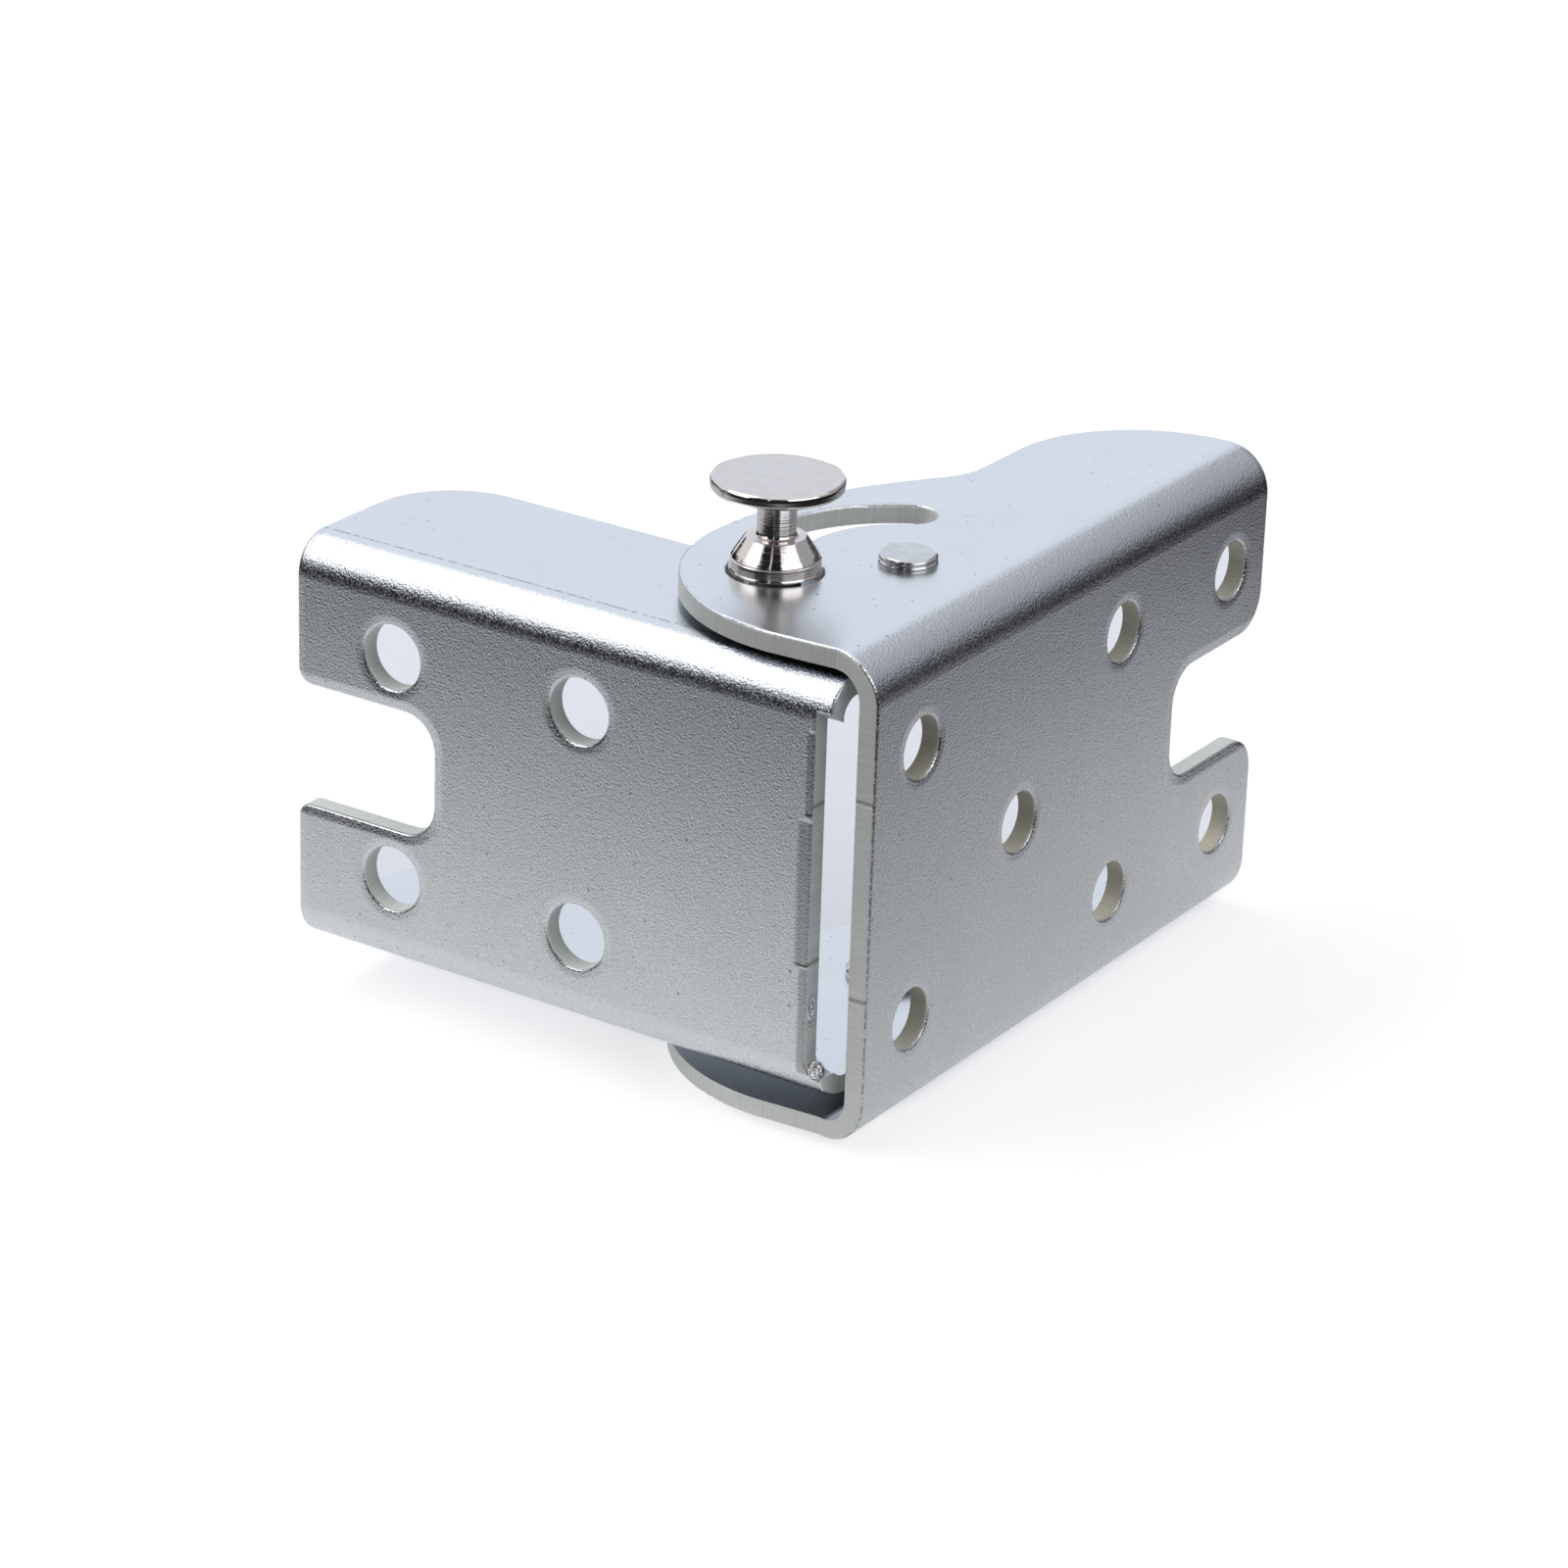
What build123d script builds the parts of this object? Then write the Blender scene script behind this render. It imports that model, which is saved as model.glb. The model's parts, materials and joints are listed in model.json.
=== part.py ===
from build123d import *
from math import cos, radians, sin, sqrt, tan
import os

# Folding table leg bracket: two steel channels on one pivot, and a spring pin that locks them open.
# Frame: origin at the table leaf's middle hole, on its mounting face. +X runs along the table leaf to its
# notched end, +Y runs from the mounting face into the channel, and +Z runs along the pivot, upwards.

# Sheet
sheet = 2.0
edge_round = 0.35

# Table leaf, the wide channel whose web is screwed under the table
table_height = 50.0
table_bend_inside = 2.7
table_near_end = -26.7
table_far_end = 47.0
table_flange_depth = 20.6
table_far_corner_radius = 15.6
table_hole_diameter = 6.1
table_corner_pitch_x = 37.1
table_hole_pitch_z = 28.0
table_far_holes_x = 40.0
table_notch_depth = 17.4
table_notch_height = 12.0
table_notch_fillet = 3.6
table_tongue_radius = 4.0

# Ear of the table leaf's flanges, round the pivot and the lock hole
ear_near_end = -26.45
ear_near_radius = 19.3
ear_top_y = 31.7
ear_foot_end = -26.05
ear_foot_rise = 0.5
ear_back_radius = 42.0
ear_dip_radius = 8.0

# Leg leaf, the narrow channel whose web is screwed to the leg
leg_bend_inside = 2.0
leg_web_offset = 25.4
leg_near_end = -6.45
leg_far_end = 54.2
leg_flange_depth = 22.3
leg_far_corner_radius = 9.5
leg_hole_diameter = 6.7
leg_hole_near_y = 20.3
leg_hole_pitch_y = 22.3
leg_hole_pitch_z = 23.5
leg_notch_depth = 16.7
leg_notch_height = 12.8
leg_notch_fillet = 3.6
leg_tongue_radius = 1.6
leg_lobe_radius = 9.0
leg_lobe_root = 4.0
leg_lobe_blend = 20.0
leg_edge_set_in = 0.6
leg_lip_set_in = 0.95
leg_relief_upper_lip = 2.95
leg_relief_lower_lip = 2.7
leg_relief_tilt = 33.0
leg_relief_fillet = 1.8

# Pivot
pivot_x = -2.9
pivot_y = 12.1
upper_gap = 0.7
lower_gap = 2.3
shank_diameter = 4.8
shank_running_gap = 0.05
rivet_head_diameter = 9.0
rivet_head_height = 0.9
rivet_head_gap = 0.05
rivet_bevel = 0.3
rivet_end_diameter = 5.7
rivet_end_height = 0.95
rivet_groove_height = 0.12
rivet_groove_depth = 0.18
washer_diameter = 11.0
washer_gap = 0.1
washer_bore_gap = 0.05

# Slot and lock hole in the table leaf's upper flange
slot_radius = 13.1
slot_width = 5.3
lock_hole_diameter = 9.3
lock_angle = 138.0
slot_sweep = 106.5

# Lock pin, with its spring and the washer that holds the spring
pin_shaft_diameter = 5.0
pin_hole_gap = 0.05
pin_band_diameter = 8.9
pin_band_height = 1.4
pin_band_lift = 0.12
pin_groove = 0.15
pin_cone_height = 2.5
pin_cone_top_diameter = 4.7
pin_neck_diameter = 3.8
pin_neck_height = 4.05
pin_disc_diameter = 12.9
pin_disc_height = 1.4
pin_disc_round = 0.3
pin_disc_flare = 0.3
spring_length = 9.0
spring_diameter = 7.4
spring_wire = 0.8
spring_turns = 6
spring_end_gap = 0.02
pin_washer_diameter = 8.6
pin_washer_thickness = 1.0
pin_spigot_diameter = 4.0
pin_peen_diameter = 5.4
pin_peen_height = 0.8

# Levels along the pivot, and the leg leaf's near ends
table_top = table_height / 2
table_inside = table_top - sheet
leg_top = table_inside - upper_gap
leg_bottom = lower_gap - table_inside
leg_height = leg_top - leg_bottom
leg_edge_end = leg_edge_set_in - leg_lobe_radius
leg_lip_end = leg_lip_set_in - leg_lobe_radius
leg_middle = (leg_top + leg_bottom) / 2

pin_x = pivot_x + slot_radius * cos(radians(lock_angle))
pin_y = pivot_y + slot_radius * sin(radians(lock_angle))


def channel_blank(outline, height, depth, bend_inside, start, end):
    """Fold a U channel along X, web outside at Y = 0, and trim it to a plan outline."""
    bend_outside = bend_inside + sheet
    outside = Pos(depth / 2, 0) * Rectangle(depth, height)
    outside = fillet(outside.vertices().sort_by(Axis.X)[:2], bend_outside)
    inside = Pos(sheet + depth / 2, 0) * Rectangle(depth, height - 2 * sheet)
    inside = fillet(inside.vertices().sort_by(Axis.X)[:2], bend_inside)
    section = Plane.YZ * (outside - inside)
    channel = Pos(start, 0, 0) * extrude(section, end - start)
    return channel & extrude(outline, height, both=True)


def web_bore(x, z, diameter):
    """A round tool through the web, at one mounting hole."""
    return Pos(x, sheet / 2, z) * Rot(90, 0, 0) * Cylinder(diameter / 2, 3 * sheet)


def web_notch(end, depth, height, inner_fillet, tongue_radius):
    """The C notch in the far end of a web, with rounded roots and rounded tongue corners."""
    mouth = depth + tongue_radius
    notch = Pos(end - depth + mouth / 2, 0) * Rectangle(mouth, height)
    notch = fillet(notch.vertices().sort_by(Axis.X)[:2], inner_fillet)
    for side in (1, -1):
        corner = Pos(end - tongue_radius / 2, side * (height + tongue_radius) / 2)
        square = corner * Rectangle(tongue_radius, tongue_radius)
        centre = Pos(end - tongue_radius, side * (height / 2 + tongue_radius))
        notch += square - centre * Circle(tongue_radius)
    return extrude(Plane.XZ * notch, 2 * sheet, both=True)


def flange_bore(x, y, z, diameter):
    """A round tool through one flange."""
    return Pos(x, y, z) * Cylinder(diameter / 2, 2 * sheet)


def soften_outer_edges(leaf):
    """Round every edge of the sheet's outer side, as the punch draws it in."""
    flanges = leaf.faces().filter_by(Axis.Z).sort_by(Axis.Z)
    web = leaf.faces().filter_by(Axis.Y).sort_by(Axis.Y)[0]
    curved = leaf.faces().filter_by(GeomType.CYLINDER)
    along = [face for face in curved if face.axis_of_rotation.is_parallel(Axis.X)]
    widest = max(face.radius for face in along)
    outer = [flanges[0], flanges[-1], web] + [face for face in along if face.radius == widest]
    edges = [edge for face in outer for edge in face.edges()]
    return fillet([edge for edge in edges if edges.count(edge) == 1], edge_round)


def table_outline():
    """Plan of the table leaf's flanges: straight near edge, round ear, dip, and a large far corner."""
    ear_top_x = ear_near_end + ear_near_radius
    back_centre = Vector(ear_top_x, ear_top_y - ear_back_radius)
    dip_rise = table_flange_depth + ear_dip_radius - back_centre.Y
    dip_reach = sqrt((ear_back_radius + ear_dip_radius) ** 2 - dip_rise**2)
    dip_centre = Vector(ear_top_x + dip_reach, table_flange_depth + ear_dip_radius)
    meet = back_centre + (dip_centre - back_centre).normalized() * ear_back_radius
    corner_x = table_far_end - table_far_corner_radius
    corner_y = table_flange_depth - table_far_corner_radius
    ear_low_y = ear_top_y - ear_near_radius
    ear_foot_y = sheet + table_bend_inside + ear_foot_rise
    with BuildLine() as outline:
        Line((table_near_end, 0), (table_far_end, 0))
        Line((table_far_end, 0), (table_far_end, corner_y))
        CenterArc((corner_x, corner_y), table_far_corner_radius, 0, 90)
        Line((corner_x, table_flange_depth), (dip_centre.X, table_flange_depth))
        RadiusArc((dip_centre.X, table_flange_depth), meet, ear_dip_radius)
        RadiusArc(meet, (ear_top_x, ear_top_y), -ear_back_radius)
        RadiusArc((ear_top_x, ear_top_y), (ear_near_end, ear_low_y), -ear_near_radius)
        Line((ear_near_end, ear_low_y), (ear_foot_end, ear_foot_y))
        Line((ear_foot_end, ear_foot_y), (table_near_end, sheet))
        Line((table_near_end, sheet), (table_near_end, 0))
    return make_face(outline.edges())


def slot_tool():
    """The curved slot, about the pivot, with the lock hole at its start."""
    start = lock_angle - slot_sweep
    path = CenterArc((pivot_x, pivot_y), slot_radius, start, slot_sweep)
    slot = SlotArc(path, slot_width)
    slot += Pos(pin_x, pin_y) * Circle(lock_hole_diameter / 2)
    return Pos(0, 0, table_inside - sheet / 2) * extrude(slot, 2 * sheet)


def make_table_bracket():
    reach = ear_top_y + 1
    leaf = channel_blank(
        table_outline(), table_height, reach, table_bend_inside, table_near_end, table_far_end
    )
    for z in (table_hole_pitch_z / 2, -table_hole_pitch_z / 2):
        for x in (-table_corner_pitch_x / 2, table_corner_pitch_x / 2, table_far_holes_x):
            leaf -= web_bore(x, z, table_hole_diameter)
    leaf -= web_bore(0, 0, table_hole_diameter)
    leaf -= web_notch(
        table_far_end, table_notch_depth, table_notch_height, table_notch_fillet, table_tongue_radius
    )
    leaf -= slot_tool()
    leaf = soften_outer_edges(leaf)
    for z in (table_top, -table_top):
        leaf -= flange_bore(pivot_x, pivot_y, z, shank_diameter)
    return leaf


def leg_outline():
    """Plan of the leg leaf's flanges in the leaf's own frame, with the pivot at (0, leg_web_offset)."""
    blend_rise = leg_flange_depth + leg_lobe_blend - leg_web_offset
    blend_reach = sqrt((leg_lobe_radius + leg_lobe_blend) ** 2 - blend_rise**2)
    lobe = Vector(0, leg_web_offset)
    blend = Vector(blend_reach, leg_flange_depth + leg_lobe_blend)
    meet = lobe + (blend - lobe).normalized() * leg_lobe_radius
    root = Vector(leg_edge_end, leg_web_offset - sqrt(leg_lobe_radius**2 - leg_edge_end**2))
    bend_outside = leg_bend_inside + sheet
    corner_x = leg_far_end - leg_far_corner_radius
    corner_y = leg_flange_depth - leg_far_corner_radius
    with BuildLine() as outline:
        Line((leg_lip_end, 0), (leg_far_end, 0))
        Line((leg_far_end, 0), (leg_far_end, corner_y))
        CenterArc((corner_x, corner_y), leg_far_corner_radius, 0, 90)
        Line((corner_x, leg_flange_depth), (blend_reach, leg_flange_depth))
        RadiusArc((blend_reach, leg_flange_depth), meet, leg_lobe_blend)
        ThreePointArc(meet, lobe + Vector(-1, 1).normalized() * leg_lobe_radius, root)
        Line(root, (leg_edge_end, bend_outside))
        Line((leg_edge_end, bend_outside), (leg_lip_end, 0))
    face = make_face(outline.edges())
    return fillet(face.vertices().sort_by_distance(root)[0], leg_lobe_root)


def leg_relief():
    """The web's near end is cut back between the two bends, with the upper edge square to the bend."""
    reach = sheet + leg_bend_inside
    drop = reach * tan(radians(leg_relief_tilt))
    upper = leg_relief_upper_lip - leg_height / 2
    lower = leg_height / 2 - leg_relief_lower_lip
    corners = [(reach, upper + drop), (-reach, upper - drop), (-reach, lower), (reach, lower)]
    section = make_face(Polyline(*corners, close=True).edges())
    start = leg_edge_end - leg_relief_fillet
    cut = Pos(start, 0, 0) * extrude(Plane.YZ * section, leg_near_end - start)
    lower_rim = cut.faces().sort_by(Axis.X)[-1].edges().sort_by(Axis.Z)[-1]
    return fillet(lower_rim, leg_relief_fillet)


def place_leg(shape):
    """Turn the leg leaf from its own frame to where it stands, square to the table leaf."""
    turned = shape.rotate(Axis((0, 0, 0), (1, 1, 0)), 180)
    return Pos(pivot_x - leg_web_offset, pivot_y, leg_middle) * turned


def make_leg_bracket():
    reach = leg_web_offset + pivot_y
    leaf = channel_blank(
        leg_outline(), leg_height, reach, leg_bend_inside, -leg_lobe_radius, leg_far_end
    )
    for z in (leg_hole_pitch_z / 2, -leg_hole_pitch_z / 2):
        for y in (leg_hole_near_y, leg_hole_near_y + leg_hole_pitch_y):
            leaf -= web_bore(y, z, leg_hole_diameter)
    leaf -= web_notch(
        leg_far_end, leg_notch_depth, leg_notch_height, leg_notch_fillet, leg_tongue_radius
    )
    leaf -= leg_relief()
    leaf = place_leg(soften_outer_edges(leaf))
    bore = shank_diameter + 2 * shank_running_gap
    for z in (leg_top, leg_bottom):
        leaf -= flange_bore(pivot_x, pivot_y, z, bore)
    leaf -= flange_bore(pin_x, pin_y, leg_top, pin_shaft_diameter + 2 * pin_hole_gap)
    return leaf


def turned(points, x, y):
    """A turned solid from its half section, given as (radius, height) points."""
    half = make_face(Polyline(*points, close=True).edges())
    return Pos(x, y, 0) * revolve(Plane.XZ * half, Axis.Z)


def make_rivet(side):
    """One pivot rivet: wide flat head inside the leg leaf, shank through both flanges, flat set end."""
    inner_face = leg_top - sheet if side > 0 else leg_bottom + sheet
    seat = abs(inner_face) - rivet_head_gap
    shank = shank_diameter / 2
    end = rivet_end_diameter / 2
    waist = end - rivet_groove_depth
    middle = table_top + rivet_end_height / 2
    groove = rivet_groove_height / 2
    points = [
        (0, seat - rivet_head_height),
        (rivet_head_diameter / 2 - rivet_bevel, seat - rivet_head_height),
        (rivet_head_diameter / 2, seat - rivet_head_height + rivet_bevel),
        (rivet_head_diameter / 2, seat),
        (shank, seat),
        (shank, table_top),
        (end, table_top),
        (end, middle - groove),
        (waist, middle - groove),
        (waist, middle + groove),
        (end, middle + groove),
        (end, table_top + rivet_end_height - rivet_groove_height),
        (end - rivet_groove_height, table_top + rivet_end_height),
        (0, table_top + rivet_end_height),
    ]
    return turned([(radius, side * height) for radius, height in points], pivot_x, pivot_y)


def ring(x, y, low, thickness, outside, bore):
    """A flat washer whose lower face is at the height low."""
    blank = Cylinder(outside / 2, thickness) - Cylinder(bore / 2, 2 * thickness)
    return Pos(x, y, low + thickness / 2) * blank


def make_pivot_washer(side):
    """The washer or spacer that fills the gap between a pair of flanges at the pivot."""
    thickness = (upper_gap if side > 0 else lower_gap) - washer_gap
    low = table_inside - thickness if side > 0 else -table_inside
    bore = shank_diameter + 2 * washer_bore_gap
    return ring(pivot_x, pivot_y, low, thickness, washer_diameter, bore)


def make_lock_pin():
    """The turned pin: thin finger disc, narrow neck, cone and locking band, then the shaft below."""
    flange_face = leg_top - sheet
    washer_top = flange_face - spring_length
    washer_low = washer_top - pin_washer_thickness
    band_low = table_top + pin_band_lift
    band_top = band_low + pin_band_height
    cone_top = band_top + pin_cone_height
    neck_top = cone_top + pin_neck_height
    disc_top = neck_top + pin_disc_height
    band = pin_band_diameter / 2
    disc = pin_disc_diameter / 2
    neck = pin_neck_diameter / 2
    points = [
        (0, washer_low - pin_peen_height),
        (pin_peen_diameter / 4, washer_low - pin_peen_height),
        (pin_peen_diameter / 2, washer_low - pin_peen_height / 3),
        (pin_peen_diameter / 2, washer_low),
        (pin_spigot_diameter / 2, washer_low),
        (pin_spigot_diameter / 2, washer_top),
        (pin_shaft_diameter / 2, washer_top),
        (pin_shaft_diameter / 2, band_low),
        (band - pin_groove, band_low),
        (band, band_low + pin_groove),
        (band, band_top - pin_groove),
        (band - pin_groove, band_top),
        (pin_cone_top_diameter / 2, cone_top),
        (neck, cone_top + (pin_cone_top_diameter - pin_neck_diameter) / 2),
        (neck, neck_top),
        (disc - pin_disc_flare, neck_top),
        (disc, neck_top + pin_disc_flare),
        (disc, disc_top - pin_disc_round),
        (disc - pin_disc_round, disc_top),
        (0, disc_top),
    ]
    return turned(points, pin_x, pin_y)


def make_pin_spring():
    """Compression spring on the pin's shaft, between the leg flange and the pin's washer."""
    length = spring_length - spring_wire - 2 * spring_end_gap
    low = leg_top - sheet - spring_length + spring_end_gap + spring_wire / 2
    radius = (spring_diameter - spring_wire) / 2
    coil = Helix(length / spring_turns, length, radius)
    start = Plane(coil @ 0, z_dir=coil % 0)
    wire = sweep(start * Circle(spring_wire / 2), coil, is_frenet=True)
    return Pos(pin_x, pin_y, low) * wire


def make_pin_washer():
    low = leg_top - sheet - spring_length - pin_washer_thickness
    bore = pin_spigot_diameter + 2 * washer_bore_gap
    return ring(pin_x, pin_y, low, pin_washer_thickness, pin_washer_diameter, bore)


pieces = {
    "table_bracket": make_table_bracket(),
    "leg_bracket": make_leg_bracket(),
    "upper_rivet": make_rivet(1),
    "lower_rivet": make_rivet(-1),
    "upper_washer": make_pivot_washer(1),
    "lower_spacer": make_pivot_washer(-1),
    "lock_pin": make_lock_pin(),
    "pin_spring": make_pin_spring(),
    "pin_washer": make_pin_washer(),
}

os.makedirs("parts", exist_ok=True)
for name, piece in pieces.items():
    export_step(piece, f"parts/{name}.step")
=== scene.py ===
import json
import math

import bmesh
import bpy
from mathutils import Matrix, Vector


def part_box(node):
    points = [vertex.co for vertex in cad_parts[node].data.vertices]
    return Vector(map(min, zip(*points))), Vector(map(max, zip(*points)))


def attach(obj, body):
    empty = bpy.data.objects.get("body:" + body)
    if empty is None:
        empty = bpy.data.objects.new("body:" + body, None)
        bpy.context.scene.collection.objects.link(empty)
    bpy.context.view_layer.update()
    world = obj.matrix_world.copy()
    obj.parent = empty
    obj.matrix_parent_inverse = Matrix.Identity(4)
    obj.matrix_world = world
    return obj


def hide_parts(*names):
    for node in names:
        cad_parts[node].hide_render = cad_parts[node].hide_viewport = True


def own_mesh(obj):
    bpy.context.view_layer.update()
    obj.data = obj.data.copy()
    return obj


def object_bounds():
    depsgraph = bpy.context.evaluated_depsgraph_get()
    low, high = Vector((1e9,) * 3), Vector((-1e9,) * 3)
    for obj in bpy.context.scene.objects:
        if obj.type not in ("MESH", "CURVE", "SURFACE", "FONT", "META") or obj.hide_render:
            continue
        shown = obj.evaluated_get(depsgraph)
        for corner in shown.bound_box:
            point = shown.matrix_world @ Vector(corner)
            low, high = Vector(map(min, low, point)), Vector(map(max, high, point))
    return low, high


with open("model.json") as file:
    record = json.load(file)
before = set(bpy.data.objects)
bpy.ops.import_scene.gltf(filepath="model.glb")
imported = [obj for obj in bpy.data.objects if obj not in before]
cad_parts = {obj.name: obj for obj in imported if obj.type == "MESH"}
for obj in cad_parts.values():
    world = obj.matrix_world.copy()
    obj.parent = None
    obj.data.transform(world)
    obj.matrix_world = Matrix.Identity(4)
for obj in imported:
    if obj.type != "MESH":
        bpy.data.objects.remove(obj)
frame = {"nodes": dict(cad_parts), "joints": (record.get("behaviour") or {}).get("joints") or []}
cad_low, cad_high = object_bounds()
nodes = frame["nodes"]


# Camera, standing where the photograph was taken from, in front of the corner between the two leaves.
# It is set out from the pivot, which is the fold joint's place.
fold = next(joint for joint in frame["joints"] if joint["name"] == "fold")
pivot = Vector(fold["pos_m"])
turn = math.radians(57.02)
tilt = math.radians(23.13)
roll = math.radians(1.87)
backward = Vector((-math.sin(turn) * math.cos(tilt), -math.cos(turn) * math.cos(tilt), math.sin(tilt)))
level = Vector((math.cos(turn), -math.sin(turn), 0))
upright = backward.cross(level)
right = level * math.cos(roll) + upright * math.sin(roll)
up = upright * math.cos(roll) - level * math.sin(roll)
camera_distance = 0.5215
camera_shift = 0.01111
camera_rise = 0.00167
camera_data = bpy.data.cameras.new("camera")
camera_data.sensor_fit = "HORIZONTAL"
camera_data.sensor_width = 36
camera_data.lens = 122.84
camera_data.clip_start = 0.01
camera_data.clip_end = 20
camera = bpy.data.objects.new("camera", camera_data)
bpy.context.scene.collection.objects.link(camera)
camera.matrix_world = Matrix((right, up, backward)).transposed().to_4x4()
camera.location = pivot + backward * camera_distance - right * camera_shift + up * camera_rise
bpy.context.scene.camera = camera


# Studio: a white floor, and three soft boxes overhead, to the left and in front of the bracket.
# Curtains and cards stand all round, and they give bright metal its dark and pale bands.
def feed(tree, socket, value):
    """Give a socket either a link from another socket or a plain value."""
    if isinstance(value, bpy.types.NodeSocket):
        tree.links.new(value, socket)
    else:
        socket.default_value = value


def worked(tree, operation, *values):
    """Add a Math node and give its result."""
    node = tree.nodes.new("ShaderNodeMath")
    node.operation = operation
    for socket, value in zip(node.inputs, values):
        feed(tree, socket, value)
    return node.outputs[0]


def vector_worked(tree, operation, *values):
    """Add a Vector Math node and give its result."""
    node = tree.nodes.new("ShaderNodeVectorMath")
    node.operation = operation
    for socket, value in zip(node.inputs, values):
        feed(tree, socket, value)
    single = operation in ("DOT_PRODUCT", "LENGTH", "DISTANCE")
    return node.outputs["Value"] if single else node.outputs["Vector"]


def ranged(tree, value, low, high, to_low=0.0, to_high=1.0):
    """Add a Map Range node that eases smoothly between two limits."""
    node = tree.nodes.new("ShaderNodeMapRange")
    node.interpolation_type = "SMOOTHSTEP"
    for socket, given in zip(node.inputs, (value, low, high, to_low, to_high)):
        feed(tree, socket, given)
    return node.outputs[0]


def mixed(tree, factor, first, second):
    """Add a colour mix and give its result."""
    node = tree.nodes.new("ShaderNodeMix")
    node.data_type = "RGBA"
    feed(tree, node.inputs[0], factor)
    feed(tree, node.inputs[6], first)
    feed(tree, node.inputs[7], second)
    return node.outputs[2]


def seen_directly(tree):
    """1 for what the camera sees, also in shiny or clear things, and 0 for what only gives light."""
    ray = tree.nodes.new("ShaderNodeLightPath")
    seen = worked(tree, "MAXIMUM", ray.outputs["Is Camera Ray"], ray.outputs["Is Glossy Ray"])
    return worked(tree, "MAXIMUM", seen, ray.outputs["Is Transmission Ray"])


bpy.context.scene.view_settings.view_transform = "Standard"
world = bpy.data.worlds.new("studio")
bpy.context.scene.world = world
world.use_nodes = True
sky_tree = world.node_tree
sky_tree.nodes.clear()
sky_output = sky_tree.nodes.new("ShaderNodeOutputWorld")
sky_mix = sky_tree.nodes.new("ShaderNodeMixShader")
room_light = sky_tree.nodes.new("ShaderNodeBackground")
room_light.inputs["Color"].default_value = (0.97, 0.98, 1.0, 1)
room_light.inputs["Strength"].default_value = 0.40
white_wall = sky_tree.nodes.new("ShaderNodeBackground")
white_wall.inputs["Color"].default_value = (1, 1, 1, 1)
white_wall.inputs["Strength"].default_value = 1.0
feed(sky_tree, sky_mix.inputs[0], seen_directly(sky_tree))
feed(sky_tree, sky_mix.inputs[1], room_light.outputs[0])
feed(sky_tree, sky_mix.inputs[2], white_wall.outputs[0])
feed(sky_tree, sky_output.inputs["Surface"], sky_mix.outputs[0])

floor_radius = 4.0
floor_mesh = bpy.data.meshes.new("floor")
floor_shape = bmesh.new()
bmesh.ops.create_circle(floor_shape, cap_ends=True, segments=96, radius=floor_radius)
bmesh.ops.translate(floor_shape, verts=floor_shape.verts, vec=(0, 0, cad_low.z))
floor_shape.to_mesh(floor_mesh)
floor_shape.free()
floor = bpy.data.objects.new("floor", floor_mesh)
bpy.context.scene.collection.objects.link(floor)

# The paper glows a little, and is greyer where the bracket keeps the light off it.
# Each border of the shade is a point on it, its inward direction, and how far it fades.
shade_borders = [
    ((0.0, 0.002), (0.0, 1.0), 0.004),
    ((0.0489, 0.001), (-0.463, 0.886), 0.002),
    ((-0.0194, 0.0734), (0.624, -0.781), 0.005),
    ((-0.018, 0.0), (1.0, 0.0), 0.006),
    ((0.060, 0.135), (-0.563, -0.826), 0.008),
]
behind_leg_notch = [
    ((0.0045, 0.0), (1.0, 0.0), 0.0035),
    ((0.0395, 0.0), (-1.0, 0.0), 0.0035),
    ((0.0100, 0.0753), (-0.602, 0.798), 0.0025),
]
behind_table_notch = [
    ((0.0, 0.0180), (0.0, 1.0), 0.004),
    ((0.0, 0.0435), (0.0, -1.0), 0.005),
    ((0.0698, 0.0247), (0.478, -0.878), 0.0025),
]
paper_colour = (0.8, 0.8, 0.805)
glow_colour = (1.0, 1.0, 1.0)
glow_strength = 0.54
shade_tint = (0.69, 0.71, 0.77)
paper = bpy.data.materials.new("white_paper")
paper.use_nodes = True
paper_tree = paper.node_tree
paper_surface = paper_tree.nodes["Principled BSDF"]
paper_surface.inputs["Roughness"].default_value = 0.8
paper_surface.inputs["Specular IOR Level"].default_value = 0.1
paper_glow = worked(paper_tree, "MULTIPLY", seen_directly(paper_tree), glow_strength)
feed(paper_tree, paper_surface.inputs["Emission Strength"], paper_glow)
paper_place = paper_tree.nodes.new("ShaderNodeTexCoord")


def inside_borders(borders):
    """How far a point of the paper lies inside all the straight borders, from 0 to 1."""
    total = 1.0
    for border, inward, fade in borders:
        offset = vector_worked(paper_tree, "SUBTRACT", paper_place.outputs["Object"], (*border, 0))
        reach = vector_worked(paper_tree, "DOT_PRODUCT", offset, (*inward, 0))
        total = worked(paper_tree, "MULTIPLY", total, ranged(paper_tree, reach, 0.0, fade))
    return total


floor_shade = inside_borders(shade_borders)
for opening in (behind_leg_notch, behind_table_notch):
    kept = worked(paper_tree, "SUBTRACT", 1.0, inside_borders(opening))
    floor_shade = worked(paper_tree, "MULTIPLY", floor_shade, kept)
for socket_name, plain in (("Base Color", paper_colour), ("Emission Color", glow_colour)):
    greyer = [part * tint for part, tint in zip(plain, shade_tint)]
    tone = mixed(paper_tree, floor_shade, (*plain, 1), (*greyer, 1))
    feed(paper_tree, paper_surface.inputs[socket_name], tone)
floor_mesh.materials.append(paper)


def make_cloth(name, shade):
    """Matt studio cloth of one plain shade."""
    material = bpy.data.materials.new(name)
    material.use_nodes = True
    surface = material.node_tree.nodes["Principled BSDF"]
    surface.inputs["Base Color"].default_value = (shade, shade, shade * 1.05, 1)
    surface.inputs["Roughness"].default_value = 1.0
    surface.inputs["Specular IOR Level"].default_value = 0.0
    return material


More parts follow.
